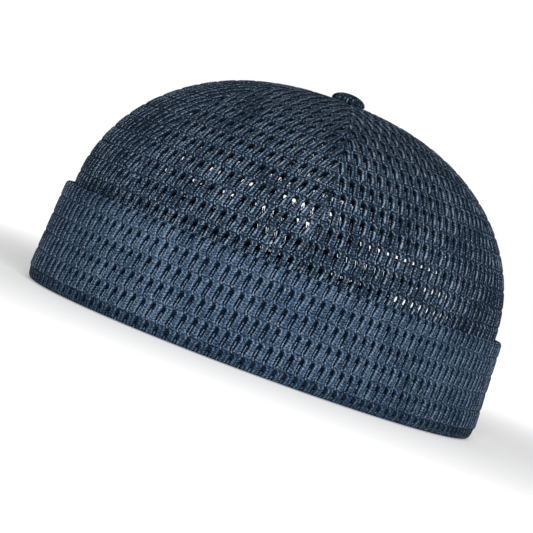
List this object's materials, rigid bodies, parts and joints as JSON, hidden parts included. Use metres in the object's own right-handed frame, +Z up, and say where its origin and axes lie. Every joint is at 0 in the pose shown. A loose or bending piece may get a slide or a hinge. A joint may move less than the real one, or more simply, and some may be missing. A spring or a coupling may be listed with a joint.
{
  "type": "docker cap",
  "caption": "Brimless cap of open mesh knit with a domed panelled crown, a turned-up cuff, a smooth sweatband and an adjustable strap across an arched back opening.",
  "frame": {"origin": "on the surface that the rim rests on, at the middle of the cap's outline from side to side and from front to back", "axes": "+Z up through the button, -Y to the front of the cap, +Y to the back opening with the strap, +X to the wearer's left"},
  "size_m": [0.175, 0.1984, 0.1123],
  "materials": {
    "mesh_knit": "navy blue polyester mesh knit, matt with a slight sheen",
    "smooth_cloth": "black smooth woven cloth, matt",
    "webbing": "black ribbed webbing, matt",
    "buckle_plastic": "black moulded plastic, satin"
  },
  "bodies": {
    "root": {"crown_panel_front_left": "mesh_knit", "crown_panel_side_left": "mesh_knit", "crown_panel_back_left": "mesh_knit", "crown_panel_back_right": "mesh_knit", "crown_panel_side_right": "mesh_knit", "crown_panel_front_right": "mesh_knit", "top_button": "mesh_knit", "cuff": "mesh_knit", "sweatband": "smooth_cloth", "fixed_strap": "webbing", "adjusting_strap": "webbing", "slide_buckle": "buckle_plastic"}
  },
  "joints": []
}
